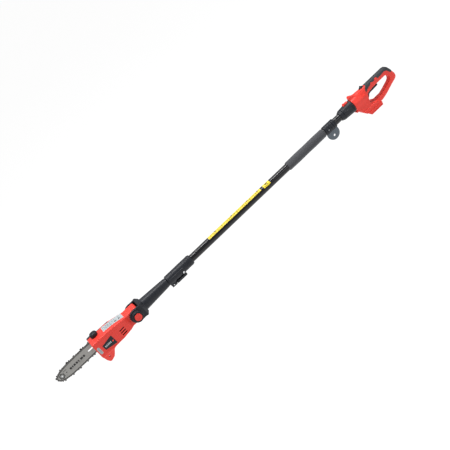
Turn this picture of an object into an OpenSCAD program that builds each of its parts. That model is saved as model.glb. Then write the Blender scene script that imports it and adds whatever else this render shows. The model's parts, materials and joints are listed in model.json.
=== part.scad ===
// Telescoping cordless pole saw, drawn with +X from the saw head towards the rear handle, +Z up
// and the tool's left side towards -Y. X is measured from the hole of the strap eye. Everything
// is drawn about the pole's own axis and then lifted, so that the origin is that hole's centre.

/* [Pole] */
// Outside diameter of the outer tube
pole_d = 32.6; // [32:0.1:33]
// Outside diameter of the sliding inner tube
inner_d = 28; // [27.6:0.1:28.4]
// Wall of both tubes
tube_wall = 1.4; // [1.2:0.1:1.6]
// How far the inner tube slides out
reach = 600; // [400:50:600]
// Outside diameter of the foam grip
foam_d = 40; // [38:0.5:42]

/* [Strap] */
// Outside diameter of the strap clamp
strap_d = 41.4; // [41:0.1:43]
// Diameter of the hole in the strap eye
eye_d = 10; // [8:0.5:11]
// Thickness of the strap eye
eye_t = 4; // [3:0.5:5]

/* [Tilt joint] */
// Radius of the fork's ears
ear_r = 29.3; // [28.5:0.1:30]
// Half of the width across the ears
ear_y = 40; // [39.5:0.1:41]
// Thickness of one ear
ear_t = 11; // [10:0.2:11]
// Diameter of the red release button
tilt_button_d = 30.4; // [30:0.2:32]

/* [Saw head] */
// Half height of the head at the front
head_top = 42; // [41:0.5:43]
// Depth of the head below the pole's axis
head_low = 31; // [30.5:0.5:32]
// Near side of the head, measured out from the axis
head_near = 42; // [41.5:0.5:43]
// Far side of the head, where the bar is bolted on
head_far = 34; // [33.5:0.5:34.5]
// Wall of the head's shells
head_wall = 2.6; // [2.4:0.1:2.8]

/* [Bar and chain] */
// Half height of the bar at its widest
bar_half = 22; // [21.5:0.5:22.5]
// Thickness of the bar
bar_t = 4.4; // [4:0.1:4.6]
// Width of the slot that the bar stud passes through
bar_slot = 8; // [7.8:0.1:8.4]
// Distance between two cutters
cutter_gap = 38.1; // [38.1:0.1:38.1]

/* [Gears] */
// Gear module
gear_module = 1; // [1:1:1]
// Teeth on the motor's pinion
pinion_teeth = 10; // [10:1:10]
// Teeth on the output gear
gear_teeth = 48; // [48:1:48]
// Pressure angle of the teeth
pressure = 25; // [25:1:25]
// Play between two teeth that mesh
play = 0.07; // [0.05:0.01:0.1]

/* [Rear handle] */
// Diameter of the handle's round front body
barrel_d = 57; // [56:0.5:58]
// Half width of the battery foot
foot_y = 33; // [31:0.5:34]
// Half width of the D-shaped grip
grip_y = 15; // [14:0.5:16]
// Wall of the handle's shells
handle_wall = 2.6; // [2.4:0.1:2.8]

/* [Hidden] */

red = [0.86, 0.2, 0.14];
black = [0.09, 0.09, 0.1];
foam = [0.2, 0.21, 0.24];
steel = [0.62, 0.63, 0.65];
dark_steel = [0.27, 0.27, 0.29];
yellow = [0.93, 0.8, 0.1];
label_white = [0.86, 0.88, 0.89];

fine = 96;

eye_x = 5;
eye_drop = 43;
tilt_x = -1109.5;
fork_front = -1090;
fork_rear = -1074.5;
neck_start = -1062.5;
neck_end = -927.5;
collar_front = -927;
collar_rear = -793;
tube_front = -905;
foam_front = -240;
foam_rear = -29;
strap_front = -24;
strap_rear = 34;
plate_neck = [-19.5, 29];
sleeve_front = 68;
sleeve_rear = 141;
barrel_front = 143.5;
tube_rear = 132;
head_front = -1321;
cap_x = -1285;
cap_y = 12;
cap_d = 34;
sprocket_x = -1216;
centre_gap = gear_module * (pinion_teeth + gear_teeth) / 2;
motor_x = sprocket_x + centre_gap;
bar_y = 38;
bar_tip = -1507;
bar_tail = -1241;
nose_x = bar_tip + 19;
cover_out = 60;
foot_low = -81;
foot_top = -66;
foot_rear = 250;
slot_y = 21;
rail_y = 25;
label_gap = 0.01;

// Everything is drawn about the pole's axis, and this moves it to the strap eye's frame
module about_pole() {
    translate([-eye_x, 0, eye_drop]) children();
}

// Round bar along X from x0 to x1
module rod_x(r, x0, x1) {
    translate([x0, 0, 0]) rotate([0, 90, 0]) cylinder(r = r, h = x1 - x0, $fn = fine);
}

// Cone along X
module cone_x(r0, r1, x0, x1) {
    translate([x0, 0, 0]) rotate([0, 90, 0]) cylinder(r1 = r0, r2 = r1, h = x1 - x0, $fn = fine);
}

// Tube along X
module tube_x(r_out, r_in, x0, x1) {
    difference() {
        rod_x(r_out, x0, x1);
        rod_x(r_in, x0 - 1, x1 + 1);
    }
}

// Round bar along Y at the station x and the height z
module rod_y(r, x, z, y0, y1) {
    translate([x, y1, z]) rotate([90, 0, 0]) cylinder(r = r, h = y1 - y0, $fn = fine);
}

// Round bar along Z
module rod_z(r, x, y, z0, z1) {
    translate([x, y, z0]) cylinder(r = r, h = z1 - z0, $fn = fine);
}

// Outline in the XZ plane, drawn out from y0 to y1
module slab_y(y0, y1) {
    translate([0, y1, 0]) rotate([90, 0, 0]) linear_extrude(height = y1 - y0) children();
}

// Box between two corners
module block(low, high) {
    translate(low) cube(high - low);
}

// Surface turned about X from [x, radius] points
module lathe_x(points) {
    rotate([0, 90, 0]) rotate_extrude($fn = fine) polygon([for (p = points) [p[1], p[0]]]);
}

/* ---- outer pole ---- */

module outer_tube() {
    color(black) about_pole() tube_x(pole_d / 2, pole_d / 2 - tube_wall, tube_front, tube_rear);
}

// Telescope clamp: a split collar with rounded ends and a boss below for the lever
module clamp_collar() {
    boss_x = -884;
    color(black) about_pole() difference() {
        union() {
            lathe_x([
                [collar_front, 14.4], [collar_front, 20.5], [collar_front + 4, 23],
                [collar_rear - 7, 23], [collar_rear - 1.5, 20], [collar_rear, 17], [collar_rear, 14.4]
            ]);
            block([-925, -11.5, -31], [-901, 11.5, -14]);
            block([-862, -23.5, -17], [-846, 23.5, 4]);
        }
        rod_x(pole_d / 2 + 0.02, tube_front, collar_rear + 1);
        rod_x(inner_d / 2 + 0.4, collar_front - 1, tube_front + 1);
        // Slot that lets the collar close
        block([collar_front - 1, -1, -24], [-868, 1, -10]);
        // Slot for the lever's cam
        block([-922, -5.5, -32], [-899, 5.5, -19.7]);
        rod_y(2.52, -915, -26, -13, 13);
        rod_y(2.55, -854, -9, -25, 25);
    }
}

module clamp_bolt() {
    color(steel) about_pole() {
        difference() {
            rod_y(4.5, -854, -9, -27, -23.6);
            rod_y(2.2, -854, -9, -28, -25);
        }
        rod_y(2.5, -854, -9, -23.6, -17.2);
        rod_y(4.5, -854, -9, 23.6, 27);
        rod_y(2.5, -854, -9, 17.2, 23.6);
    }
}

module lever_pin() {
    color(steel) about_pole() rod_y(2.5, -915, -26, -13, 13);
}

module foam_grip() {
    color(foam) about_pole() lathe_x([
        [foam_front, pole_d / 2], [foam_front, 18.6], [foam_front + 3, foam_d / 2],
        [foam_rear - 8, foam_d / 2], [foam_rear, 18.2], [foam_rear, pole_d / 2]
    ]);
}

// Two-ring clamp that holds the strap eye
module strap_clamp() {
    groove = 1.2;
    color(black) about_pole() difference() {
        tube_x(strap_d / 2, pole_d / 2 + 0.02, strap_front, strap_rear);
        for (x = [-15, 6, 26])
            tube_x(strap_d / 2 + 1, strap_d / 2 - groove, x - 1.2, x + 1.2);
        block([plate_neck[0] - 0.3, -eye_t / 2 - 0.1, -22], [plate_neck[1] + 0.3, eye_t / 2 + 0.1, -17.4]);
        rod_y(1.8, -9, 0, -22, -15);
    }
}

// Pressed plate with a round lower edge and the strap's hole
module strap_eye() {
    color(dark_steel) about_pole() slab_y(-eye_t / 2, eye_t / 2) difference() {
        union() {
            difference() {
                translate([eye_x + 0.5, -31.5]) circle(r = 30, $fn = fine);
                translate([-40, -strap_d / 2 - 0.3]) square([90, 30]);
            }
            translate([plate_neck[0], -35]) square([plate_neck[1] - plate_neck[0], 17.5]);
        }
        translate([eye_x, -eye_drop]) circle(d = eye_d, $fn = fine);
    }
}

module strap_screw() {
    color(steel) about_pole() difference() {
        rod_y(1.75, -9, 0, -20.5, -pole_d / 2 - 0.3);
        rod_y(0.9, -9, 0, -21, -19.3);
    }
}

// Sleeve that takes the handle's spigot, with a flat panel on each side and the latch window
module coupling_sleeve() {
    color(black) about_pole() difference() {
        lathe_x([
            [sleeve_front, 17], [sleeve_front + 12, 24.2], [sleeve_front + 56, 27.4],
            [sleeve_rear - 4, 28.7], [sleeve_rear, 28], [sleeve_rear, 16.5], [sleeve_front, 16.5]
        ]);
        rod_x(pole_d / 2 + 0.02, sleeve_front - 1, tube_rear);
        rod_x(20.6, 96, sleeve_rear + 1);
        for (side = [-1, 1])
            translate([0, side * 31, 0]) block([90, -5, -12], [134, 5, 12]);
        block([106, -7.4, 15], [132, 7.4, 30]);
    }
}

// Thin sleeve segments on the side of the tube, in place of the printed strip
module tube_patch(x0, x1, angle0, angle1, t) {
    r = pole_d / 2 + 0.02;
    steps = 6;
    arc = [for (i = [0:steps]) angle0 + (angle1 - angle0) * i / steps];
    far = r + 8;
    intersection() {
        tube_x(r + t, r, x0, x1);
        translate([x0 - 1, 0, 0]) rotate([90, 0, 90]) linear_extrude(height = x1 - x0 + 2)
            polygon(concat([[0, 0]], [for (a = arc) [far * cos(a), far * sin(a)]]));
    }
}

module pole_strip() {
    color(yellow) about_pole() tube_patch(-688, -392, 80, 137, 0.3);
}

module pole_label() {
    color(yellow) about_pole() tube_patch(-377, -342, 80, 154, 0.3);
}

/* ---- clamp lever ---- */

// Quick lever that lies under the collar and swings down about its pin
module clamp_lever() {
    color(black) about_pole() difference() {
        union() {
            rod_y(6, -915, -26.2, -5, 5);
            slab_y(-5, 5) polygon([[-915, -32.2], [-905, -32.6], [-905, -27.2], [-915, -23.9]]);
            slab_y(-13, 13) polygon([
                [-898.5, -33.4], [-850, -33.4], [-846, -31], [-846, -24.2], [-898.5, -24.2]
            ]);
            slab_y(-5, 5) polygon([[-906, -32.6], [-895, -33], [-895, -24.2], [-906, -27.2]]);
        }
        rod_y(2.56, -915, -26, -6, 6);
        rod_x(23.35, -900, -840);
    }
}

/* ---- inner pole ---- */

module inner_tube() {
    color(black) about_pole()
        tube_x(inner_d / 2, inner_d / 2 - tube_wall, neck_start + 8, collar_front + reach + 110);
}

// Guide bush on the inner tube's hidden end
module tube_bush() {
    end = collar_front + reach + 110;
    color(black) about_pole()
        tube_x(pole_d / 2 - tube_wall - 0.3, inner_d / 2 + 0.01, end - 34, end - 2);
}

// Fork and neck in one moulding: two ears on a block, and a cone down to the tube
module fork() {
    block_h = 29;
    color(black) about_pole() difference() {
        union() {
            for (side = [-1, 1])
                translate([0, side * (ear_y - ear_t / 2), 0]) {
                    rod_y(ear_r, tilt_x, 0, -ear_t / 2, ear_t / 2);
                    block([tilt_x, -ear_t / 2, -ear_r], [fork_rear, ear_t / 2, ear_r]);
                }
            block([fork_front + 11, -ear_y, -block_h], [fork_rear, ear_y, block_h]);
            rod_y(23.6, tilt_x, 0, -55, -ear_y + 1);
            rod_y(20, tilt_x, 0, ear_y - 1, 46);
            intersection() {
                cone_x(48, 26.85, fork_rear - 0.01, neck_start);
                block([fork_rear - 1, -ear_y, -block_h], [neck_start + 1, ear_y, block_h]);
            }
            cone_x(26.85, 20.3, neck_start - 0.01, neck_end - 10);
            cone_x(20.3, 18.5, neck_end - 10.01, neck_end);
        }
        rod_x(inner_d / 2 + 0.005, neck_start + 8, neck_end + 1);
        rod_x(10, fork_front, neck_start + 9);
        // Pocket for the release button, and the bore for the pivot tube
        rod_y(tilt_button_d / 2 + 0.15, tilt_x, 0, -56, -ear_y);
        rod_y(9.02, tilt_x, 0, -ear_y - 1, 43);
        for (side = [-1, 1])
            block([-991, side * 25 - 3.5, 3], [-940, side * 25 + 3.5, 9]);
    }
}

// Hollow pivot that carries the head and lets the cable through
module pivot_tube() {
    color(steel) about_pole() difference() {
        rod_y(9, tilt_x, 0, -ear_y, 43);
        rod_y(6, tilt_x, 0, -ear_y - 1, 40);
        rod_x(5.5, tilt_x, tilt_x + 12);
    }
}

// Outer shape of the coiled cable that stretches with the pole, and its straight ends
module coil_cable() {
    color(black) about_pole() {
        tube_x(9.6, 5.4, -560, -330);
        translate([0, 0, 7.5]) rod_x(1.8, neck_start, -559.9);
        translate([0, 0, 7.5]) rod_x(1.8, -330.1, tube_rear - 12);
    }
}

/* ---- tilt release ---- */

module tilt_button() {
    color(red) about_pole() difference() {
        union() {
            rod_y(tilt_button_d / 2, tilt_x, 0, -58, -52);
            rod_y(5.9, tilt_x, 0, -52.01, -36);
        }
        rod_y(8, tilt_x, 0, -59, -57);
    }
}

module tilt_spring() {
    turns = 4;
    color(steel) about_pole() for (i = [0:turns - 1])
        translate([0, -50.5 + i * 2.6, 0]) difference() {
            rod_y(9.5, tilt_x, 0, -0.8, 0.8);
            rod_y(7.5, tilt_x, 0, -1, 1);
        }
}

/* ---- saw head ---- */

// Side outline of the head, without the branch claw
module head_side() {
    polygon([
        [head_front, -16], [head_front, head_top - 4], [head_front + 4, head_top],
        [-1240, head_top], [-1203, head_top - 3], [-1164, head_top - 9.5], [-1143, 28],
        [tilt_x, 28], [tilt_x, -28], [-1143, -26.5], [-1164, -28.5], [-1203, -head_low],
        [-1250, -head_low - 1], [head_front + 3, -head_low - 1]
    ]);
    translate([tilt_x, 0]) circle(r = 28, $fn = fine);
    // Square upper corner of the tongue, which swings away from the fork
    polygon([
        [tilt_x - 1, 10], [tilt_x - 1, 28], [-1093, 28], [-1089.5, 25], [-1087, 12], [-1087, 6]
    ]);
}

// The head seen from above: broad at the front, narrow between the fork's ears
module head_plan() {
    tongue = ear_y - ear_t - 0.4;
    polygon([
        [head_front, -head_near + 2], [head_front + 2, -head_near], [-1203, -head_near],
        [-1160, -head_near + 6], [-1143, -tongue], [-1070, -tongue], [-1070, tongue],
        [-1143, tongue], [-1160, 31], [-1203, head_far], [head_front, head_far]
    ]);
}

// Hook below the nose of the head that rests on the branch
module claw_side() {
    polygon([
        [head_front + 1, -20], [-1315, -53], [-1309, -67], [-1304, -71], [-1298, -70.5],
        [-1282, -64], [-1272, -52], [-1262, -38], [-1250, -head_low - 0.5], [-1250, -20]
    ]);
}

module head_form(shrink) {
    intersection() {
        slab_y(-60, 60) offset(delta = -shrink) head_side();
        translate([0, 0, -60]) linear_extrude(height = 120)
            offset(delta = -shrink) head_plan();
    }
}

module claw_form(shrink) {
    intersection() {
        slab_y(-40 + shrink, 14 - shrink) offset(delta = -shrink) claw_side();
        translate([-1330, 0, 0]) rotate([90, 0, 90]) linear_extrude(height = 100)
            offset(delta = -shrink)
                polygon([[-40, -15], [-40, -30], [-29, -72], [4, -72], [14, -30], [14, -15]]);
    }
}

// Both shells before they are parted at the seam
module head_shells() {
    difference() {
        union() {
            head_form(0);
            claw_form(0);
        }
        difference() {
            head_form(head_wall);
            // Screw posts
            for (p = head_posts())
                rod_y(4, p[0], p[1], -60, 60);
        }
        difference() {
            claw_form(head_wall);
            translate([-1400, -60, -30]) cube([400, 120, 20]);
            rod_y(6, -1296, -46, -60, 60);
        }
        for (p = head_posts()) {
            rod_y(1.5, p[0], p[1], -30, 30);
            rod_y(3.2, p[0], p[1], head_far - 8, 60);
        }
        rod_y(1.5, -1296, -46, -28, 10);
        rod_y(3.2, -1296, -46, -60, -28);
        // Pivot bore, the way in for the cable, and the oil filler
        rod_y(9.06, tilt_x, 0, -60, 60);
        rod_z(9.2, cap_x, cap_y, 30, 60);
        // Shaft, bar stud and tensioner come out of the far side
        rod_y(11.2, sprocket_x, 0, 28, 60);
        rod_y(4.1, -1290, 0, 28, 60);
        block([-1311, 28, -17], [-1299, 60, -12]);
        // Vents
        for (i = [-1:1])
            block([-1202, -60, 0 + 11 * i - 8], [-1177, -head_near + 12, 11 * i - 3]);
        for (i = [-1:1])
            block([-1180, 20, 11 * i - 2], [-1158, 60, 11 * i + 2.5]);
    }
}

function head_posts() = [[-1228, 32], [-1168, 24], [-1232, -25]];

module head_left_shell() {
    color(red) about_pole() intersection() {
        head_shells();
        block([-1400, -70, -100], [-1000, 0, 100]);
    }
}

module head_right_shell() {
    color(red) about_pole() {
        intersection() {
            head_shells();
            block([-1400, 0, -100], [-1000, 70, 100]);
        }
        // Raised pad that the bar lies on
        difference() {
            block([-1319, head_far, -15], [-1250, bar_y - bar_t / 2, 15]);
            rod_y(4.1, -1290, 0, 28, 60);
            block([-1311, 28, -17], [-1299, 60, -12]);
        }
    }
}

module head_screws() {
    color(steel) about_pole() {
        for (p = head_posts())
            mirror([0, 1, 0]) shell_screw(p[0], p[1], -head_far + 7.8);
        shell_screw(-1296, -46, -28.2);
    }
}

// Pan-head screw along Y with its head's inner face at y
module shell_screw(x, z, y) {
    difference() {
        rod_y(2.9, x, z, y - 2, y);
        rod_y(1.2, x, z, y - 2.1, y - 0.8);
    }
    rod_y(1.48, x, z, y - 0.01, y + 20);
}

module motor_can() {
    color(dark_steel) about_pole() difference() {
        rod_y(18, motor_x, 0, -34, 14);
        rod_y(16, motor_x, 0, -32, 12);
        rod_y(2.2, motor_x, 0, 11, 15);
    }
}

// Half of the angle that a tooth fills at the radius r, in degrees
function roll(base, r) = tan(acos(base / r)) * 180 / PI - acos(base / r);
function tooth_half(teeth, r) =
    let (pitch_r = gear_module * teeth / 2, base = pitch_r * cos(pressure))
    90 / teeth - play * 180 / PI / pitch_r + roll(base, pitch_r) - roll(base, max(r, base));

// Spur gear outline with stub involute teeth, one of them centred on the +X axis
module spur_outline(teeth) {
    pitch_r = gear_module * teeth / 2;
    tip = pitch_r + 0.8 * gear_module;
    low = max(pitch_r - 1.1 * gear_module, pitch_r * cos(pressure));
    root = min(pitch_r - 1.1 * gear_module, low - 0.05);
    rings = [low, (low + pitch_r) / 2, pitch_r, (pitch_r + tip) / 2, tip];
    polygon([
        for (i = [0:teeth - 1]) each [
            for (q = concat(
                [[root, -tooth_half(teeth, low)]],
                [for (r = rings) [r, -tooth_half(teeth, r)]],
                [for (k = [4:-1:0]) [rings[k], tooth_half(teeth, rings[k])]],
                [[root, tooth_half(teeth, low)]]
            ))
            [q[0] * cos(q[1] + i * 360 / teeth), q[0] * sin(q[1] + i * 360 / teeth)]
        ]
    ]);
}

module motor_rotor() {
    color(steel) about_pole() {
        rod_y(14.5, motor_x, 0, -26, 8);
        rod_y(2, motor_x, 0, -31, -25.99);
        rod_y(2, motor_x, 0, 7.99, 16.5);
        translate([motor_x, 0, 0]) slab_y(16.5, 23.5)
            rotate(180 / pinion_teeth) spur_outline(pinion_teeth);
    }
}

// Plate that holds the motor and the shaft's bearings
module gear_plate() {
    color(steel) about_pole() difference() {
        union() {
            block([-1246, 24.4, -25], [-1172, 28.6, 25]);
            rod_y(14, sprocket_x, 0, 24.4, 30.8);
        }
        rod_y(10, sprocket_x, 0, 20, 32);
        rod_y(5, motor_x, 0, 20, 32);
        for (p = head_posts())
            rod_y(4.4, p[0], p[1], 20, 32);
    }
}

module output_bearings() {
    color(steel) about_pole() difference() {
        rod_y(9.99, sprocket_x, 0, 24.8, 30.8);
        rod_y(5, sprocket_x, 0, 24, 33);
    }
}

// Shaft with its gear and the chain's drive sprocket
module output_shaft() {
    lobes = 6;
    color(steel) about_pole() {
        rod_y(4.95, sprocket_x, 0, 12, 48);
        translate([sprocket_x, 0, 0]) slab_y(17, 23) spur_outline(gear_teeth);
        translate([sprocket_x, 0, 0]) slab_y(36.2, 39.8) polygon([
            for (i = [0:lobes * 6 - 1])
            let (r = 12.6 + 2 * cos(i * 60), a = i * 60 / lobes) [r * cos(a), r * sin(a)]
        ]);
        rod_y(9, sprocket_x, 0, 39.79, 43);
    }
}

module oil_tank() {
    color([0.85, 0.83, 0.75]) about_pole() difference() {
        union() {
            block([-1314, -38, -26], [-1255, 24, 37]);
            rod_z(9, cap_x, cap_y, 36, 52);
        }
        block([-1312, -36, -24], [-1257, 22, 35]);
        rod_z(7, cap_x, cap_y, 34, 53);
    }
}

module oil_pump() {
    color(dark_steel) about_pole() {
        rod_y(4, -1247, 8, 6, 22);
        rod_y(1.5, -1247, 8, 21.99, 25);
    }
}

// Screwed filler cap with a ribbed rim and a raised grip
module oil_cap() {
    ribs = 18;
    color(black) about_pole() translate([cap_x, cap_y, 0]) {
        difference() {
            union() {
                translate([0, 0, head_top + 0.4]) cylinder(d = cap_d, h = 11, $fn = fine);
                translate([0, 0, head_top + 11.39]) cylinder(d1 = cap_d, d2 = 20, h = 6.6, $fn = fine);
                translate([-11, -3.5, head_top + 11]) cube([22, 7, 10.8]);
            }
            translate([0, 0, head_top - 1]) cylinder(r = 9.4, h = 12.5, $fn = fine);
            for (i = [0:ribs - 1])
                rotate(i * 360 / ribs) translate([cap_d / 2 + 0.5, 0, head_top])
                    cylinder(r = 1.2, h = 10.2, $fn = 16);
        }
    }
}

// Half height of the bar at the station x
function bar_edge(x) =
    x < -1400
        ? bar_half * sqrt(max(0, 1 - pow((-1400 - x) / (-1400 - bar_tip), 3.2)))
        : bar_half * (1 - 0.35 * pow((x + 1400) / (bar_tail + 1400), 3));

// Stations along the bar, closer together at the nose
function bar_stations() = concat(
    [for (i = [0:14]) bar_tip + (-1400 - bar_tip) * pow(i / 14, 2)],
    [for (i = [1:8]) -1400 + (bar_tail + 1400) * i / 8]
);

module bar_outline() {
    polygon(concat(
        [for (x = bar_stations()) [x, bar_edge(x)]],
        [[bar_tail, -bar_edge(bar_tail)]],
        [for (i = [len(bar_stations()) - 2:-1:1]) [bar_stations()[i], -bar_edge(bar_stations()[i])]]
    ));
}

module guide_bar() {
    color(steel) about_pole() difference() {
        slab_y(bar_y - bar_t / 2, bar_y + bar_t / 2) bar_outline();
        slab_y(0, 60) {
            translate([-1344, -bar_slot / 2]) square([82, bar_slot]);
            translate([-1344, 0]) circle(d = bar_slot, $fn = fine);
        }
        rod_y(2.4, -1305, -14.5, 0, 60);
        // Room for the nose sprocket and its rivet
        rod_y(12, nose_x, 0, bar_y - 0.9, bar_y + 0.9);
        rod_y(4, nose_x, 0, 0, 60);
    }
}

module nose_rivet() {
    color(steel) about_pole() rod_y(3.95, nose_x, 0, bar_y - bar_t / 2 - 0.2, bar_y + bar_t / 2 + 0.2);
}

module nose_sprocket() {
    teeth = 9;
    color(dark_steel) about_pole() difference() {
        translate([nose_x, 0, 0]) slab_y(bar_y - 0.75, bar_y + 0.75) polygon([
            for (i = [0:teeth * 6 - 1])
            let (r = 9.6 + 1.2 * cos(i * 60), a = i * 60 / teeth) [r * cos(a), r * sin(a)]
        ]);
        rod_y(4.02, nose_x, 0, 0, 60);
    }
}

module bar_stud() {
    color(steel) about_pole() {
        rod_y(3.9, -1290, 0, 29, 70);
        rod_y(8, -1290, 0, 26, 29.01);
    }
}

// Screw and sliding block whose pin moves the bar
module tensioner() {
    color(steel) about_pole() {
        block([-1308, 26, -17], [-1302, 31, -12.4]);
        rod_y(2.2, -1305, -14.6, 30.9, 41);
    }
}

// Outline that the chain's inner edge follows
module chain_inside(out) {
    offset(r = out, $fn = 32) hull() {
        bar_outline();
        translate([sprocket_x, 0]) circle(r = 15, $fn = 48);
    }
}

module saw_chain() {
    cut = 13;
    color(dark_steel) about_pole() {
        slab_y(bar_y - 2.9, bar_y + 2.9) difference() {
            chain_inside(7.4);
            chain_inside(0.3);
        }
        for (side = [-1, 1])
            for (i = [0:6])
                let (x = -1246 - (i + (side > 0 ? 0.35 : 0)) * cutter_gap, z = bar_edge(x))
                    slab_y(bar_y - 3.4, bar_y + 3.4) polygon([
                        [x, side * (z + 4)], [x, side * (z + 8)],
                        [x - cut + 3, side * (z + 8.6)], [x - cut, side * (z + 4)]
                    ]);
    }
}

// Cover over the sprocket and the tail of the bar, open at the front for the chain
module cover_side() {
    polygon([
        [head_front, -26], [head_front + 5, -35], [-1216, -32], [-1190, -20], [-1184, -8],
        [-1184, 8], [-1192, 24], [-1212, 31], [-1292, 34], [-1298, 38.5],
        [head_front + 3, 38.5], [head_front, 35]
    ]);
}

module sprocket_cover() {
    wall = 2.6;
    color(black) about_pole() difference() {
        union() {
            slab_y(head_far + 0.2, cover_out - 6) cover_side();
            slab_y(cover_out - 6.01, cover_out) offset(delta = -2) cover_side();
        }
        slab_y(head_far - 1, cover_out - 9) offset(delta = -wall) cover_side();
        block([head_front - 1, head_far - 1, -31.8], [head_front + 8, 44, 31.8]);
        rod_y(4.3, -1290, 0, 30, 70);
        rod_y(12, -1290, 0, cover_out - 4, 70);
    }
}

// Hand knob that clamps the bar
module cover_knob() {
    lobes = 5;
    color(red) about_pole() difference() {
        union() {
            rod_y(11.5, -1290, 0, cover_out - 3.7, cover_out + 1);
            translate([-1290, 0, 0]) slab_y(cover_out + 0.99, cover_out + 12) polygon([
                for (a = [0:6:354]) let (r = 17.5 + 1.8 * cos(lobes * a)) [r * cos(a), r * sin(a)]
            ]);
        }
        rod_y(3.96, -1290, 0, 50, 71);
    }
}

module name_plate() {
    color(black) about_pole() slab_y(-head_near - 0.6, -head_near - label_gap) polygon([
        [-1290, 10.2], [-1288.5, -11.8], [-1236, -22], [-1237, 19.8]
    ]);
}

// Label that follows the sloping top of the head
module top_label() {
    t = 0.35;
    line = [
        [-1248, head_top], [-1240, head_top], [-1203, head_top - 3], [-1164, head_top - 9.5],
        [-1151, head_top - 12.3]
    ];
    color(label_white) about_pole() slab_y(-20, 26) polygon(concat(
        [for (p = line) p + [0, t]],
        [for (i = [len(line) - 1:-1:0]) line[i] + [0, label_gap]]
    ));
}

module side_badge() {
    color(label_white) about_pole() hull() {
        rod_y(6, -1308.5, 13.5, -head_near - 0.5, -head_near - label_gap);
        rod_y(6, -1308.5, -8.5, -head_near - 0.5, -head_near - label_gap);
    }
}

/* ---- rear handle ---- */

// Outer outline of the D-shaped grip and the body in front of it
module grip_side() {
    polygon([
        [164, 0], [164, 31], [346, 31], [354, 28.5], [361, 22], [370, 3], [377, -20],
        [377.5, -29], [374.5, -37], [367, -43.5], [342, -51.5], [324, -58.5], [307, -65],
        [289, -71], [271, -75.5], [247, -77], [190, -70], [166, -58]
    ]);
}

// Room for the hand
module grip_opening() {
    polygon([
        [210, -36], [212, -31], [229, -8], [238, -6], [287, -4.5], [333, -3.5], [340, -8],
        [341.5, -14], [339, -21], [333, -26], [298, -39], [276, -45.5], [236, -45.5],
        [221, -43]
    ]);
}

// Body between the barrel and the battery foot
module body_side() {
    polygon([
        [150, -10], [150, -33], [166, -60], [181, foot_low], [247, foot_low], [250, -66],
        [236, -48], [219, -43], [210, -36], [212, -30], [220, -10], [205, 10], [160, 10]
    ]);
}

module handle_form(shrink) {
    rod_x(barrel_d / 2 - shrink, barrel_front + shrink, 190 - shrink);
    cone_x(barrel_d / 2 - shrink, 15 - shrink, 190 - shrink - 0.01, 232 - shrink);
    slab_y(-30 + shrink, 30 - shrink) offset(delta = -shrink) body_side();
    slab_y(-foot_y + shrink, foot_y - shrink) offset(delta = -shrink) intersection() {
        body_side();
        translate([100, -90]) square([200, 38]);
    }
    slab_y(-grip_y + shrink, grip_y - shrink) offset(delta = -shrink) difference() {
        grip_side();
        grip_opening();
    }
}

function handle_posts() = [[176, -30], [204, 12], [262, -60], [325, -45], [352, 12], [300, 14]];

module handle_shells() {
    difference() {
        union() {
            handle_form(0);
            // Ears round the coupling, above and below
            slab_y(-10, 10) polygon([[141.6, 26], [143, 42], [151, 42], [170, 31], [170, 26]]);
            block([138, -12, -38], [153, 12, -31]);
        }
        difference() {
            handle_form(handle_wall);
            for (p = handle_posts())
                rod_y(4, p[0], p[1], -60, 60);
            // Floor over the battery slot
            block([160, -40, -90], [260, 40, foot_top + 4]);
        }
        for (p = handle_posts()) {
            rod_y(1.5, p[0], p[1], -12, 12);
            rod_y(3.2, p[0], p[1], 12, 60);
        }
        rod_x(20.4, barrel_front - 1, barrel_front + 3);
        // The battery foot hangs below, and its contacts come through the floor
        block([140, -40, -90], [foot_rear + 0.2, 40, foot_top]);
        block([185.9, -16.1, foot_top - 1], [226.1, 16.1, foot_top + 5]);
        foot_groove(-58.5);
        // Slots for the trigger and the lock slider
        block([216, -8.4, -26], [290, 8.4, -1]);
        block([206, -4.9, 20], [232, 4.9, 40]);
    }
}

module handle_left_shell() {
    color(red) about_pole() intersection() {
        handle_shells();
        block([100, -70, -100], [400, 0, 100]);
    }
}

module handle_right_shell() {
    color(red) about_pole() intersection() {
        handle_shells();
        block([100, 0, -100], [400, 70, 100]);
    }
}

// Groove along both flanks of the foot
module foot_groove(z) {
    for (side = [-1, 1])
        block([160, side * foot_y - 1.6, z - 1.2], [255, side * foot_y + 1.6, z + 1.2]);
}

// One half of the foot: a rail with an undercut that the battery slides along from the front
module foot_half(side) {
    difference() {
        intersection() {
            handle_form(0);
            block([140, side < 0 ? -40 : 0, -90], [foot_rear, side < 0 ? 0 : 40, foot_top]);
        }
        block([100, -slot_y, -90], [foot_rear - 9, slot_y, foot_top + 1]);
        block([100, -rail_y, -74.5], [foot_rear - 9, rail_y, -69]);
        foot_groove(-75.5);
    }
}

module foot_left_rail() {
    color(red) about_pole() foot_half(-1);
}

module foot_right_rail() {
    color(red) about_pole() foot_half(1);
}

// Rubber skin over the top and the back of the grip
module soft_grip() {
    skin = 1.4;
    color(black) about_pole() difference() {
        slab_y(-grip_y - skin, grip_y + skin) intersection() {
            offset(delta = skin) grip_side();
            polygon([
                [240, 40], [240, 14], [262, 17], [270, 22], [278, 18], [288, 25], [300, 25],
                [302, 15], [342, 18], [352, 12], [360, -4], [380, -4], [380, 40]
            ]);
        }
        slab_y(-grip_y, grip_y) grip_side();
    }
}

// Round spigot that plugs into the coupling
module handle_spigot() {
    color(black) about_pole() {
        tube_x(20.35, pole_d / 2 + 0.15, 98, barrel_front + 6);
        tube_x(25.5, pole_d / 2 + 0.15, barrel_front + 2.8, barrel_front + 6);
    }
}

module handle_screws() {
    color(steel) about_pole() for (p = handle_posts())
        mirror([0, 1, 0]) shell_screw(p[0], p[1], -12.2);
}

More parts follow.
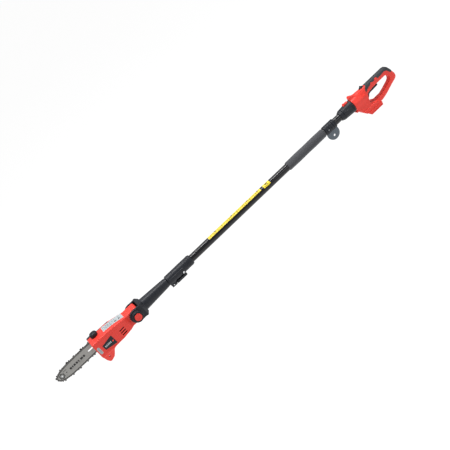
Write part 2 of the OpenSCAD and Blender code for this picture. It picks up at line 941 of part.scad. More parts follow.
// Contact block that meets the battery
module battery_terminals() {
    color([0.15, 0.15, 0.16]) about_pole() difference() {
        union() {
            block([186, -16, foot_top + 0.2], [226, 16, foot_top + 4.01]);
            block([184, -18, foot_top + 4.01], [228, 18, foot_top + 6]);
        }
        for (y = [-10, 0, 10])
            block([192, y - 1, foot_top - 1], [220, y + 1, foot_top + 2]);
    }
}

module trigger_switch() {
    color(black) about_pole() {
        block([238, -7, 8], [264, 7, 22]);
        block([255, -3, 5.5], [260, 3, 8.01]);
    }
}

module circuit_board() {
    color([0.1, 0.35, 0.2]) about_pole() {
        block([182, -20, -30], [206, 20, -28.4]);
        block([185, -12, -28.41], [195, 4, -20]);
        block([198, 4, -28.41], [204, 14, -16]);
    }
}

module trigger() {
    color(black) about_pole() difference() {
        slab_y(-7.6, 7.6) polygon([
            [226, 3], [221.5, -6], [219, -19], [221, -23.5], [224.5, -22], [231, -13.5],
            [239, -11], [282, -9], [286, -6], [285, -1.5], [262, -1.5], [244, 2], [238, 6],
            [230, 6]
        ]);
        rod_y(2.05, 232, 1.5, -9, 9);
    }
}

module trigger_spring() {
    color(steel) about_pole() for (i = [0:3])
        translate([250, 0, 1.9 + i * 1.7]) difference() {
            cylinder(r = 3, h = 0.8, $fn = 32);
            translate([0, 0, -1]) cylinder(r = 2.1, h = 3, $fn = 32);
        }
}

module lock_slider() {
    color(black) about_pole() {
        slab_y(-7.5, 7.5) polygon([
            [211, 31.3], [211, 33], [215, 34], [219, 38.6], [221, 38.6], [225, 34], [229, 33],
            [229, 31.3]
        ]);
        block([216, -4.5, 22], [225, 4.5, 31.31]);
    }
}

module release_latch() {
    color(red) about_pole() slab_y(-7, 7) polygon([
        [106.5, 24], [106.5, 28.5], [109, 30], [112.5, 35], [116, 31], [131.5, 31], [131.5, 24]
    ]);
}

module latch_spring() {
    color(steel) about_pole() slab_y(-4, 4) polygon([
        [109, 20.9], [119, 23.4], [129, 20.9], [129, 21.4], [119, 23.9], [109, 21.4]
    ]);
}

outer_tube();
clamp_collar();
clamp_bolt();
lever_pin();
foam_grip();
strap_clamp();
strap_eye();
strap_screw();
coupling_sleeve();
pole_strip();
pole_label();
clamp_lever();
inner_tube();
fork();
tube_bush();
pivot_tube();
coil_cable();
tilt_button();
tilt_spring();
head_left_shell();
head_right_shell();
head_screws();
motor_can();
motor_rotor();
gear_plate();
output_bearings();
output_shaft();
oil_tank();
oil_pump();
oil_cap();
guide_bar();
bar_stud();
saw_chain();
tensioner();
nose_rivet();
nose_sprocket();
name_plate();
top_label();
side_badge();
sprocket_cover();
cover_knob();
handle_left_shell();
handle_right_shell();
foot_left_rail();
foot_right_rail();
soft_grip();
handle_spigot();
handle_screws();
battery_terminals();
trigger_switch();
circuit_board();
trigger();
trigger_spring();
lock_slider();
release_latch();
latch_spring();
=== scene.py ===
import bmesh
import bpy
import json
import math
import numpy as np
import random
from mathutils import Matrix, Vector


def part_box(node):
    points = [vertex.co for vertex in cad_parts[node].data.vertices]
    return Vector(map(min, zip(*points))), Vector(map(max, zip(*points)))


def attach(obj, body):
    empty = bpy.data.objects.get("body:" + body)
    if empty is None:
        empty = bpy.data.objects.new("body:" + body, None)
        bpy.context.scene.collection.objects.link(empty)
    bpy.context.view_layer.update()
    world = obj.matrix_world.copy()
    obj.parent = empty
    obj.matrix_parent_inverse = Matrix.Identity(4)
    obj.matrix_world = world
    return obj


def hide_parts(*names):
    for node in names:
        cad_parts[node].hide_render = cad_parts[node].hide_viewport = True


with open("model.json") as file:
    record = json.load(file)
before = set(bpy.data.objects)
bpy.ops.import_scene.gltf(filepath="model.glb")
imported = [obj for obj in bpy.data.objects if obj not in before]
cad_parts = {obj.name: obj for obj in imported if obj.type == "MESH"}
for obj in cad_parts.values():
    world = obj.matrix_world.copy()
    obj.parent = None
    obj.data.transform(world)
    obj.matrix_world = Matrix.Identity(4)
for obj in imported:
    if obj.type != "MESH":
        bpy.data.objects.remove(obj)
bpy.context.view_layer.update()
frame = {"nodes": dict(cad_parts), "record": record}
mm = 0.001
edgeAngle = math.radians(34)  # sharper edges than this get a bevel
print("frame loaded:", len(frame["nodes"]), "nodes")

# Pieces are drawn in millimetres from the pole's axis, with the outer tube's rear end at tubeRear
tubeLow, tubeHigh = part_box("outer_tube")
poleZ = (tubeLow.z + tubeHigh.z) / 2
poleRadius = (tubeHigh.z - tubeLow.z) / 2
tubeRear = 132
startX = tubeHigh.x / mm - tubeRear


def toFrame(point):
    # a point in millimetres from the pole's axis, put in the frame
    return ((point[0] + startX) * mm, point[1] * mm, point[2] * mm + poleZ)


view = {
    "aim": Vector(toFrame((-598, 0, 0))), "distance": 3.80, "yaw": 8.2, "rise": 25.0,
    "tilt": 43.64, "lens": 74.4, "shiftX": -0.0017, "shiftY": 0.0018,
}


def makeCamera(s):
    yaw, rise = math.radians(s["yaw"]), math.radians(s["rise"])
    back = Vector((-math.sin(yaw), -math.cos(yaw) * math.cos(rise), math.cos(yaw) * math.sin(rise)))
    polar = Vector((1, 0, 0))
    polar = (polar - back * polar.dot(back)).normalized()
    side = back.cross(polar)
    turn = math.radians(s["tilt"])
    right = polar * math.cos(turn) - side * math.sin(turn)
    up = polar * math.sin(turn) + side * math.cos(turn)
    camera = bpy.data.objects.new("camera", bpy.data.cameras.new("camera"))
    camera.data.sensor_width = 36
    camera.data.lens = s["lens"]
    camera.data.shift_x = s["shiftX"]
    camera.data.shift_y = s["shiftY"]
    camera.data.clip_end = 100
    camera.matrix_world = Matrix((
        (right.x, up.x, back.x, 0), (right.y, up.y, back.y, 0), (right.z, up.z, back.z, 0),
        (0, 0, 0, 1),
    ))
    camera.location = s["aim"] + back * s["distance"]
    bpy.context.scene.collection.objects.link(camera)
    bpy.context.scene.camera = camera


studio = {"floorZ": -0.75, "floorSize": 80, "floorGlow": 0.93, "world": 0.32}
lamps = [  # name, place, aim, length and width, watts
    ("overheadLamp", (-0.6, 2.2, 4.6), (-0.6, 0.2, -0.7), (6.5, 5.0), 105),
    ("stripLamp", (-0.6, -0.1, 2.4), (-0.6, 0, 0), (3.4, 0.16), 65),
    ("frontLamp", (-2.2, -3.0, 1.4), (-0.8, 0, 0), (1.6, 1.6), 1.5),
    ("handleLamp", (0.9, -2.4, 1.3), (0.26, 0, 0), (1.2, 1.2), 8),
]


def makeStudio():
    scene = bpy.context.scene
    bpy.ops.mesh.primitive_plane_add(size=studio["floorSize"], location=(0, 0, studio["floorZ"]))
    floor = bpy.context.object
    floor.name = "floor"
    floor.data.materials.append(floorFinish())
    for name, place, aim, size, watts in lamps:
        lamp = bpy.data.objects.new(name, bpy.data.lights.new(name, "AREA"))
        lamp.data.shape = "RECTANGLE"
        lamp.data.size, lamp.data.size_y = size
        lamp.data.energy = watts
        lamp.location = place
        lamp.rotation_mode = "QUATERNION"
        lamp.rotation_quaternion = (Vector(aim) - Vector(place)).to_track_quat("-Z", "Y")
        scene.collection.objects.link(lamp)
    world = bpy.data.worlds.new("world")
    world.use_nodes = True
    sky = world.node_tree.nodes["Background"]
    sky.inputs["Color"].default_value = (1, 1, 1, 1)
    sky.inputs["Strength"].default_value = studio["world"]
    scene.world = world
    scene.view_settings.view_transform = "Standard"


class Flow:
    # one output socket; an expression on it adds the Math nodes
    def __init__(self, kit, socket):
        self.kit = kit
        self.socket = socket

    def calc(self, operation, *others):
        return self.kit.node("ShaderNodeMath", {"operation": operation}, {
            i: value for i, value in enumerate((self,) + others)
        })

    def __add__(self, other):
        return self.calc("ADD", other)

    def __radd__(self, other):
        return self.calc("ADD", other)

    def __sub__(self, other):
        return self.calc("SUBTRACT", other)

    def __rsub__(self, other):
        return self.kit.node("ShaderNodeMath", {"operation": "SUBTRACT"}, {0: other, 1: self})

    def __mul__(self, other):
        return self.calc("MULTIPLY", other)

    def __rmul__(self, other):
        return self.calc("MULTIPLY", other)

    def clear(self):
        # kept between 0 and 1
        return self.kit.node("ShaderNodeClamp", {}, {0: self})


class Finish:
    # one material being put together
    def __init__(self, name):
        self.material = bpy.data.materials.new(name)
        self.material.use_nodes = True
        self.tree = self.material.node_tree
        self.shader = self.tree.nodes["Principled BSDF"]

    def node(self, kind, settings=None, values=None, out=0):
        made = self.tree.nodes.new(kind)
        for key, value in (settings or {}).items():
            setattr(made, key, value)
        for key, value in (values or {}).items():
            if isinstance(value, Flow):
                self.tree.links.new(value.socket, made.inputs[key])
            else:
                made.inputs[key].default_value = value
        return Flow(self, made.outputs[out])

    def place(self, scale=(1, 1, 1), turn=(0, 0, 0)):
        point = self.node("ShaderNodeTexCoord", out="Object")
        return self.node("ShaderNodeMapping", {}, {
            "Vector": point, "Scale": scale, "Rotation": turn,
        })

    def noise(self, scale, detail=2.0, rough=0.5, place=None):
        return self.node("ShaderNodeTexNoise", {}, {
            "Vector": place or self.place(), "Scale": scale, "Detail": detail, "Roughness": rough,
        })

    def mix(self, mask, first, second):
        # between two colours; the Mix node's colour sockets are 6 and 7, and its colour output 2
        return self.node("ShaderNodeMix", {"data_type": "RGBA"}, {
            0: mask, 6: first, 7: second,
        }, out=2)

    def bump(self, height, depth, strength):
        return self.node("ShaderNodeBump", {}, {
            "Height": height, "Distance": depth, "Strength": strength,
        })

    def wear(self, **values):
        # puts values or links on the shader's own sockets
        for key, value in values.items():
            socket = self.shader.inputs[key.replace("_", " ")]
            if isinstance(value, Flow):
                self.tree.links.new(value.socket, socket)
            else:
                socket.default_value = value
        return self.material


def shade(colour, factor):
    # the colour made darker or lighter
    return tuple(min(1, c * factor) for c in colour) + (1,)


def floorFinish():
    # pale and glowing, so that it stays near white under soft light
    f = Finish("paleFloor")
    cloud = f.noise(0.6, 1)
    return f.wear(
        Base_Color=f.mix(cloud, (0.14, 0.14, 0.14, 1), (0.16, 0.16, 0.16, 1)), Roughness=0.9,
        Specular_IOR_Level=0.0, Emission_Color=(1, 1, 1, 1), Emission_Strength=studio["floorGlow"],
    )


colours = {
    "redPlastic": (0.88, 0.052, 0.036), "blackPlastic": (0.016, 0.018, 0.024),
    "blackTube": (0.006, 0.006, 0.008), "greyFoam": (0.06, 0.062, 0.07),
    "blackRubber": (0.032, 0.034, 0.04), "eyeLitPlastic": (0.12, 0.145, 0.17),
    # The strap eye's colour is the black plastic painted lighter: painted light on its lit face
    "barSteel": (0.31, 0.305, 0.29), "chainSteel": (0.14, 0.135, 0.13),
    "zincSteel": (0.68, 0.69, 0.7), "tankPlastic": (0.75, 0.72, 0.62),
    "yellowInk": (0.86, 0.66, 0.02), "whiteFilm": (0.46, 0.51, 0.53),
    "blackFilm": (0.02, 0.021, 0.023), "boardGreen": (0.03, 0.24, 0.1),
    "greyInk": (0.16, 0.17, 0.18),
}


def mouldedPlastic(name, gloss, grainScale=900, grainDepth=0.00004, patches=0.08, shine=0.4):
    # fine spark-eroded grain, faint flow marks and a few handling scuffs
    f, colour = Finish(name), colours[name]
    grain = f.noise(grainScale, 3, 0.6)
    flow = f.noise(14, 4, 0.55)
    scuff = f.noise(70, 6, 0.7, f.place((0.25, 1, 1), (0.3, 0.2, 0.4)))
    scuffs = ((scuff - 0.64) * 9).clear()
    base = f.mix(flow, shade(colour, 1 - patches), shade(colour, 1 + patches))
    base = f.mix(scuffs * 0.25, base, shade(colour, 1.5))
    rough = gloss + (grain - 0.5) * 0.12 + scuffs * 0.12
    return f.wear(
        Base_Color=base, Roughness=rough.clear(), Normal=f.bump(grain, grainDepth, 0.7),
        IOR=1.5, Specular_IOR_Level=shine,
    )


def glossPaint(name):
    # powder-coated tube under a clear gloss, with a slight orange peel
    f, colour = Finish(name), colours[name]
    peel = f.noise(260, 2, 0.5)
    dust = f.noise(1500, 2, 0.5)
    streak = f.noise(40, 4, 0.6, f.place((0.08, 1, 1)))
    base = f.mix(streak, shade(colour, 0.8), shade(colour, 1.35))
    rough = 0.24 + (streak - 0.5) * 0.12 + (dust - 0.5) * 0.06
    return f.wear(
        Base_Color=base, Roughness=rough.clear(), Normal=f.bump(peel, 0.00003, 0.5),
        Coat_Weight=0.7, Coat_Roughness=0.04, Coat_IOR=1.5, Specular_IOR_Level=0.1,
    )


def foamRubber(name):
    # closed-cell foam: open pores of two sizes over a soft dull skin, with painted shade in the
    # pores
    f, colour = Finish(name), colours[name]
    pores = f.node("ShaderNodeTexVoronoi", {"feature": "F1"}, {"Vector": f.place(), "Scale": 900})
    small = f.noise(2600, 3, 0.6)
    poreDepthAndShade = ((0.42 - pores) * 4).clear()
    # the pore mask sinks the pores in the bump and also paints them darker, as painted shade, with
    # the skin between them lighter
    base = f.mix(poreDepthAndShade, shade(colour, 1.18), shade(colour, 0.55))
    base = f.mix(f.noise(22, 3), base, shade(colour, 0.86))
    height = small * 0.35 - poreDepthAndShade * 0.65
    return f.wear(
        Base_Color=base, Roughness=(0.82 + (small - 0.5) * 0.16).clear(),
        Normal=f.bump(height, 0.00022, 0.8), Sheen_Weight=0.25, Sheen_Roughness=0.5,
    )


def softRubber(name):
    # overmould with a fine leathery stipple
    f, colour = Finish(name), colours[name]
    cells = f.node("ShaderNodeTexVoronoi", {"feature": "F1"}, {"Vector": f.place(), "Scale": 1300})
    flow = f.noise(30, 3)
    base = f.mix(flow, shade(colour, 0.85), shade(colour, 1.2))
    return f.wear(
        Base_Color=base, Roughness=(0.6 + (flow - 0.5) * 0.15).clear(),
        Normal=f.bump(cells, 0.00012, 0.6),
    )


def brushedSteel(name):
    # ground steel: long scratches along the bar, a few darker stains
    f, colour = Finish(name), colours[name]
    lines = f.noise(900, 4, 0.65, f.place((0.03, 1, 1)))
    cloud = f.noise(45, 5, 0.6)
    stains = ((cloud - 0.52) * 5).clear()
    base = f.mix(lines, shade(colour, 0.82), shade(colour, 1.15))
    base = f.mix(stains * 0.25, base, shade(colour, 0.5))
    return f.wear(
        Base_Color=base, Metallic=1.0, Normal=f.bump(lines, 0.00002, 0.35),
        Roughness=(0.34 + (lines - 0.5) * 0.16 + stains * 0.1).clear(),
    )


def oiledSteel(name):
    # blued links with an oily film and bright worn spots
    f, colour = Finish(name), colours[name]
    film = f.noise(160, 5, 0.65)
    worn = ((f.noise(420, 3, 0.5) - 0.6) * 7).clear()
    base = f.mix(film, shade(colour, 0.6), shade(colour, 1.25))
    base = f.mix(worn * 0.6, base, (0.5, 0.49, 0.47, 1))
    return f.wear(
        Base_Color=base, Metallic=0.9, Roughness=(0.42 + (film - 0.5) * 0.3).clear(),
        Normal=f.bump(film, 0.00005, 0.5), Coat_Weight=0.25, Coat_Roughness=0.2,
    )


def plated(name):
    # bright zinc with a cloudy passivation
    f, colour = Finish(name), colours[name]
    cloud = f.noise(200, 4, 0.6)
    base = f.mix(cloud, shade(colour, 0.85), shade(colour, 1.1))
    return f.wear(
        Base_Color=base, Metallic=1.0, Roughness=(0.3 + (cloud - 0.5) * 0.2).clear(),
        Normal=f.bump(cloud, 0.00001, 0.4),
    )


def printedLabel(name):
    # smooth printed film, faintly mottled
    f, colour = Finish(name), colours[name]
    cloud = f.noise(120, 3)
    base = f.mix(cloud, shade(colour, 0.94), shade(colour, 1.03))
    return f.wear(Base_Color=base, Roughness=(0.38 + (cloud - 0.5) * 0.1).clear())


redPlastic = mouldedPlastic("redPlastic", 0.38, patches=0.04, shine=0.38)
blackPlastic = mouldedPlastic("blackPlastic", 0.42, 700, 0.00006, shine=0.3)
blackTube = glossPaint("blackTube")
greyFoam = foamRubber("greyFoam")
blackRubber = softRubber("blackRubber")
# strap eye: moulded black plastic whose colour is painted lighter, as painted light on its lit face
eyeLitPlastic = mouldedPlastic("eyeLitPlastic", 0.42, 500, 0.00005)
barSteel = brushedSteel("barSteel")
chainSteel = oiledSteel("chainSteel")
zincSteel = plated("zincSteel")
tankPlastic = mouldedPlastic("tankPlastic", 0.5)
yellowInk = printedLabel("yellowInk")
whiteFilm = printedLabel("whiteFilm")
blackFilm = printedLabel("blackFilm")
boardGreen = printedLabel("boardGreen")
greyInk = printedLabel("greyInk")
print("finishes made")

slotFinish = {
    "red_plastic": redPlastic, "black_plastic": blackPlastic, "black_tube": blackTube,
    "foam": greyFoam, "soft_rubber": blackRubber, "eye_metal": eyeLitPlastic,
    "bar_steel": barSteel, "chain_steel": chainSteel, "bright_steel": zincSteel,
    "tank_plastic": tankPlastic, "yellow_label": yellowInk, "white_label": whiteFilm,
    "board_green": boardGreen,
}
nodeSlot = {part["node"]: part["material_slot"] for part in frame["record"]["subparts"]}
for name, node in frame["nodes"].items():  # the exact nodes take the finish of their slot
    node.data.materials.clear()
    node.data.materials.append(slotFinish[nodeSlot[name]])


# A shape is an array of distances to its surface, in millimetres and negative inside, on a box
# of samples. Shapes are joined, cut and rounded as arrays, and one surface is drawn at the end.


class Samples:
    def __init__(self, low, high, step):
        self.low = np.array(low, float)
        self.step = step
        count = np.ceil((np.array(high) - self.low) / step).astype(int) + 1
        x, y, z = [self.low[i] + step * np.arange(count[i]) for i in range(3)]
        self.x, self.y, self.z = x[:, None, None], y[None, :, None], z[None, None, :]


def outline(points, u, v):
    # distance from (u, v) to a closed outline, negative inside
    best = np.full(np.broadcast(u, v).shape, 1e9)
    inside = np.zeros(best.shape, bool)
    for (ax, ay), (bx, by) in zip(points, points[1:] + points[:1]):
        ex, ey = bx - ax, by - ay
        along = np.clip(((u - ax) * ex + (v - ay) * ey) / (ex * ex + ey * ey), 0, 1)
        best = np.minimum(best, np.hypot(u - ax - along * ex, v - ay - along * ey))
        crosses = (v < ay) != (v < by)
        if ey:
            inside ^= crosses & (u < ax + (v - ay) * ex / ey)
    return np.where(inside, -best, best)


def meet(a, b, radius):
    # intersection with a rounded edge
    a, b = a + radius, b + radius
    return np.minimum(np.maximum(a, b), 0) + np.hypot(np.maximum(a, 0), np.maximum(b, 0)) - radius


def blend(a, b, radius):
    # union with a filleted corner
    share = np.clip(0.5 + 0.5 * (b - a) / radius, 0, 1)
    return b + (a - b) * share - radius * share * (1 - share)


def slab(s, points, y0, y1, radius):
    # side outline given a width, with rounded edges
    side = outline(points, s.x, s.z)
    return meet(side, abs(s.y - (y0 + y1) / 2) - (y1 - y0) / 2, radius)


def lathe(s, points, radius):
    # outline of (x, r) points turned about the pole's axis, with rounded corners
    ring = np.hypot(s.y, s.z)
    closed = points + [(x, -r) for x, r in reversed(points)]
    return outline(shrunk(closed, radius), s.x, ring) - radius


def shrunk(points, d):
    # outline moved inwards by d, corner by corner
    area = sum(a[0] * b[1] - b[0] * a[1] for a, b in zip(points, points[1:] + points[:1]))
    sign = 1 if area > 0 else -1
    out = []
    for i, p in enumerate(points):
        before, after = Vector(points[i - 1]), Vector(points[(i + 1) % len(points)])
        a, b = Vector(p) - before, after - Vector(p)
        na, nb = Vector((-a.y, a.x)).normalized() * sign, Vector((-b.y, b.x)).normalized() * sign
        half = (na + nb).normalized()
        out.append(tuple(Vector(p) + half * min(d / max(half.dot(na), 0.3), 3 * d)))
    return out


def box(s, low, high, radius=0.5):
    # block with rounded edges
    gaps = [abs(axis - (a + b) / 2) - (b - a) / 2 + radius
            for axis, a, b in zip((s.x, s.y, s.z), low, high)]
    outside = np.sqrt(sum(np.maximum(gap, 0) ** 2 for gap in gaps))
    inside = np.minimum(np.maximum(np.maximum(gaps[0], gaps[1]), gaps[2]), 0)
    return outside + inside - radius


def rodX(s, r, x0, x1, radius=0.5):
    # round bar along the pole's axis; rodY and rodZ stand across it
    return meet(np.hypot(s.y, s.z) - r, abs(s.x - (x0 + x1) / 2) - (x1 - x0) / 2, radius)


def rodY(s, x, z, r, y0, y1, radius=0.5):
    return meet(np.hypot(s.x - x, s.z - z) - r, abs(s.y - (y0 + y1) / 2) - (y1 - y0) / 2, radius)


def rodZ(s, x, y, r, z0, z1, radius=0.5):
    return meet(np.hypot(s.x - x, s.y - y) - r, abs(s.z - (z0 + z1) / 2) - (z1 - z0) / 2, radius)


def carve(field, *cuts):
    for cut in cuts:
        field = np.maximum(field, -cut)
    return field


def ringGroove(s, x, half, bottom):
    # groove turned round the pole's axis, cut down to the radius bottom
    return np.maximum(abs(s.x - x) - half, bottom - np.hypot(s.y, s.z))


def surface(s, field):
    # one corner in each cell that the surface passes through, and one face across each sample
    # edge that it cuts
    field = np.broadcast_to(field, np.broadcast(s.x, s.y, s.z).shape).astype(np.float32)
    inside = field < 0
    cells = tuple(n - 1 for n in field.shape)
    total, count = np.zeros(cells + (3,), np.float32), np.zeros(cells, np.float32)
    cuts = []
    for axis in range(3):
        a = [slice(None)] * 3
        b = [slice(None)] * 3
        a[axis], b[axis] = slice(0, -1), slice(1, None)
        fa, fb = field[tuple(a)], field[tuple(b)]
        cut = inside[tuple(a)] != inside[tuple(b)]
        cuts.append(cut)
        share = np.where(cut, fa / np.where(cut, fa - fb, 1), 0)
        others = [i for i in range(3) if i != axis]
        for p in (0, 1):
            for q in (0, 1):
                window = [slice(None)] * 3
                window[others[0]] = slice(p, p + cells[others[0]])
                window[others[1]] = slice(q, q + cells[others[1]])
                hit = cut[tuple(window)]
                count += hit
                total[..., axis] += np.where(hit, share[tuple(window)], 0)
                total[..., others[0]] += hit * p
                total[..., others[1]] += hit * q
    used = count > 0
    number = np.full(cells, -1, np.int64)
    number[used] = np.arange(used.sum())
    where = np.argwhere(used) + total[used] / count[used][:, None]
    faces = []
    for axis in range(3):
        others = [(axis + 1) % 3, (axis + 2) % 3]
        spots = np.argwhere(cuts[axis])
        keep = np.all([(spots[:, i] > 0) & (spots[:, i] < cells[i]) for i in others], axis=0)
        spots = spots[keep]
        corners = []
        for p, q in ((1, 1), (0, 1), (0, 0), (1, 0)):
            cell = spots.copy()
            cell[:, others[0]] -= p
            cell[:, others[1]] -= q
            corners.append(number[tuple(cell.T)])
        quads = np.stack(corners, axis=1)
        leaving = inside[tuple(spots.T)]
        faces.append(np.where(leaving[:, None], quads, quads[:, ::-1]))
    return where, np.concatenate(faces), field


def settle(s, where, field):
    # moves each corner onto the surface and finds the surface's direction there
    slopes = np.gradient(field, s.step)
    base = np.clip(where.astype(int), 0, np.array(field.shape) - 2)
    part = where - base

    def sample(grid):
        total = 0
        for i in (0, 1):
            for j in (0, 1):
                for k in (0, 1):
                    x, y, z = [part[:, n] if high else 1 - part[:, n]
                               for n, high in enumerate((i, j, k))]
                    weight = x * y * z
                    total = total + weight * grid[base[:, 0] + i, base[:, 1] + j, base[:, 2] + k]
        return total

    normals = np.stack([sample(slope) for slope in slopes], axis=1)
    normals /= np.maximum(np.linalg.norm(normals, axis=1), 1e-6)[:, None]
    places = s.low + where * s.step
    return places - normals * np.clip(sample(field), -0.4, 0.4)[:, None], normals


def fieldPiece(name, s, field):
    where, faces, field = surface(s, field)
    places, normals = settle(s, where, field)
    mesh = bpy.data.meshes.new(name)
    mesh.from_pydata([toFrame(p) for p in places.tolist()], [], faces.tolist())
    mesh.validate()
    mesh.shade_smooth()
    if len(mesh.vertices) == len(normals):
        mesh.normals_split_custom_set_from_vertices(normals.tolist())
    return place(name, mesh)


def pieceName(node):
    # handle_left_shell gives handleLeftShellForm
    first, *rest = node.split("_")
    return first + "".join(word.title() for word in rest) + "Form"


def place(name, mesh):
    piece = bpy.data.objects.new(name, mesh)
    bpy.context.scene.collection.objects.link(piece)
    return piece


bodies = frame["record"]["behaviour"]["bodies"]
bodyOf = {node: body for body, nodes in bodies.items() for node in nodes}


def adopt(piece, *nodes):
    # the piece stands in for the nodes, and moves with their body
    dress(piece, nodeSlot[nodes[0]], bodyOf[nodes[0]])
    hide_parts(*nodes)


def dress(piece, slot, body, finish=None):
    # finish, slot and body of a piece
    piece.data.materials.clear()
    piece.data.materials.append(finish or slotFinish[slot])
    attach(piece, body)


def splitShell(s, field, seam, left, right):
    # the two halves of a shell, either side of a fine seam
    for node, side in ((left, 1), (right, -1)):
        half = meet(field, side * s.y + seam, 0.5)
        adopt(fieldPiece(pieceName(node), s, half), node)


handle = {
    "step": 1.25, "wall": 2.6, "seam": 0.15, "bodyHalf": 27.5, "footHalf": 33, "footTop": -66,
    "footRear": 250.4, "gripHalf": 15.6, "skin": 0.9,
    "barrel": [
        (141.8, 0), (141.8, 28.5), (189, 28.5), (208, 23), (228, 16), (250, 12), (256, 0),
    ],
    "grip": [
        (166, 0), (170, 30.5), (343, 31), (354, 28.5), (362, 21), (370, 3), (377, -20),
        (377.5, -29), (374.5, -37), (367, -43.5), (342, -51.5), (307, -65), (289, -71),
        (271, -75.5), (247, -77), (190, -70), (172, -58),
    ],
    "opening": [
        (208.5, -36), (211, -29), (226, -5.5), (236, -3.5), (287, -2.5), (333, -2.5), (341, -7),
        (343, -14), (340.5, -21.5), (333, -27), (298, -40), (276, -46.5), (236, -46.5),
        (218, -43.5),
    ],
    "body": [
        (144, -8), (145, -33), (163, -60), (180, -81), (247, -81), (250, -66), (236, -48),
        (219, -43), (210, -36), (212, -28), (218, -8), (205, 8), (156, 8),
    ],
    "ear": [(141.8, 24), (143, 38), (147, 43), (153, 42), (166, 34.5), (178, 30), (178, 24)],
    "earHalf": 10.5, "tongue": ((138.5, -12, -38.2), (156, 12, -30.2)),
    "skinEdge": [
        (234, 50), (235.5, 30.5), (226, 24), (217.5, 7), (240, 14.5), (255, 18.4), (260.5, 25),
        (268, 21), (274.5, 19.4), (281, 20.3), (284.3, 27), (295.5, 25), (297, 15.6), (318, 17.5),
        (338, 19.4), (350, 13.3), (360, -4), (385, -4), (385, 50),
    ],
    "spigotBore": 20.6, "contacts": ((185.5, -16.5, -70), (226.5, 16.5, -59)),
    "triggerSlot": ((215.5, -8.6, -28), (290, 8.6, 4)), "sliderSlot": ((206, -5, 20), (232, 5, 44)),
    "sliderWindow": ((206, -9, 26), (234, 9, 60)),
    "screws": [(204, 12), (176, -30), (262, -60), (325, -45), (352, 12), (300, 14)],
    "screwHole": 3.3,
}


def gripField(s, k):
    # the D-shaped grip, rounded nearly to a tube
    ring = np.maximum(outline(k["grip"], s.x, s.z), -outline(k["opening"], s.x, s.z))
    return meet(ring, abs(s.y) - k["gripHalf"], k["gripHalf"] - 4.5)


def handleField(s, k):
    body = slab(s, k["body"], -k["bodyHalf"], k["bodyHalf"], 7)
    lower = np.maximum(outline(k["body"], s.x, s.z), s.z + 50)
    foot = meet(lower, abs(s.y) - k["footHalf"] + 2, 1.6)
    field = blend(lathe(s, k["barrel"], 3), body, 7)
    field = blend(field, gripField(s, k), 9)
    field = blend(field, foot, 2)
    # Ear over the coupling and the tongue below it
    field = blend(field, slab(s, k["ear"], -k["earHalf"], k["earHalf"], 2.5), 3)
    field = blend(field, box(s, *k["tongue"], 1.5), 2)
    return meet(field, -outline(k["opening"], s.x, s.z), 7)


def makeHandle(k):
    s = Samples((127, -36, -84), (381, 36, 46), k["step"])
    outer = handleField(s, k)
    floor = box(s, (160, -40, k["footTop"] - 9), (258, 40, k["footTop"] + 4))
    field = np.maximum(outer, -(outer + k["wall"]))
    field = np.minimum(field, np.maximum(outer, floor))
    # The foot's rails are pieces of their own below this height
    field = np.maximum(field, np.minimum(k["footTop"] + 0.1 - s.z, k["footRear"] - s.x))
    cuts = [
        rodX(s, k["spigotBore"], 130, 147), box(s, *k["contacts"]), box(s, *k["triggerSlot"]),
        box(s, *k["sliderSlot"]),
    ]
    for side in (-1, 1):
        y = side * k["footHalf"]
        cuts.append(box(s, (152, y - 1.5, -60), (256, y + 1.5, -57), 0.7))
    for i, (x, z) in enumerate(k["screws"]):
        cuts.append(rodY(s, x, z, k["screwHole"], 11 if i else 12, 60))
    splitShell(s, carve(field, *cuts), k["seam"], "handle_left_shell", "handle_right_shell")
    skin = np.maximum(outer - k["skin"], -(outer + 1.8))
    skin = meet(skin, outline(k["skinEdge"], s.x, s.z), 0.5)
    adopt(fieldPiece("softGripSkin", s, carve(skin, box(s, *k["sliderWindow"]))), "soft_grip")


makeHandle(handle)
print("handle made")

head = {
    "step": 1.0, "wall": 2.6, "seam": 0.12, "near": 42, "far": 34,
    "side": [
        (-1321, -16), (-1321, 39), (-1318, 42), (-1240, 42), (-1203, 39), (-1164, 32.5),
        (-1143, 28), (-1093, 28), (-1089, 24.5), (-1087, 12), (-1083, 0), (-1087, -14),
        (-1096, -25), (-1109, -28.5), (-1143, -26.5), (-1164, -28.5), (-1203, -31), (-1250, -32),
        (-1319, -32),
    ],
    "plan": [
        (-1321, -40), (-1319, -42), (-1203, -42), (-1160, -36), (-1143, -28.6), (-1070, -28.6),
        (-1070, 28.6), (-1143, 28.6), (-1160, 31), (-1203, 34), (-1321, 34),
    ],
    "claw": [
        (-1320, -20), (-1315, -53), (-1309, -67), (-1304, -71), (-1298, -70.5), (-1282, -64),
        (-1272, -52), (-1262, -38), (-1250, -31.5), (-1250, -20),
    ],
    "wedge": [(-40, -15), (-40, -30), (-29, -72), (4, -72), (14, -30), (14, -15)],
    "panel": [
        (-1296, 15.5), (-1294, -16.5), (-1231, -26), (-1190, -24), (-1168, -18), (-1163, 6),
        (-1172, 20), (-1230, 26),
    ],
    "screws": [(-1228, 32), (-1168, 24), (-1232, -25)], "clawScrew": (-1296, -46),
    "barPad": ((-1318, 33, -15), (-1250, 35.7, 15)), "tilt": (-1109.5, 0), "tankNeck": (-1285, 12),
    "output": (-1216, 0), "barStud": (-1290, 0),
    "tensionSlot": ((-1311, 28, -17), (-1299, 60, -12)),
    "nearVents": (-1202, -1177), "farVents": (-1180, -1158), "ventPitch": 11,
}


def headField(s, k):
    form = meet(outline(k["side"], s.x, s.z), outline(k["plan"], s.x, s.y), 4)
    claw = meet(outline(k["claw"], s.x, s.z), outline(k["wedge"], s.y, s.z), 3)
    # A line pressed into the near flank round a panel, and one below the top edge
    panel = np.maximum(abs(outline(k["panel"], s.x, s.z)) - 0.8, s.y + k["near"] - 0.9)
    line = np.maximum(abs(s.z - 33.5) - 0.7, np.maximum(s.y + k["near"] - 0.8, s.x + 1165))
    return carve(blend(form, claw, 4), panel, line)


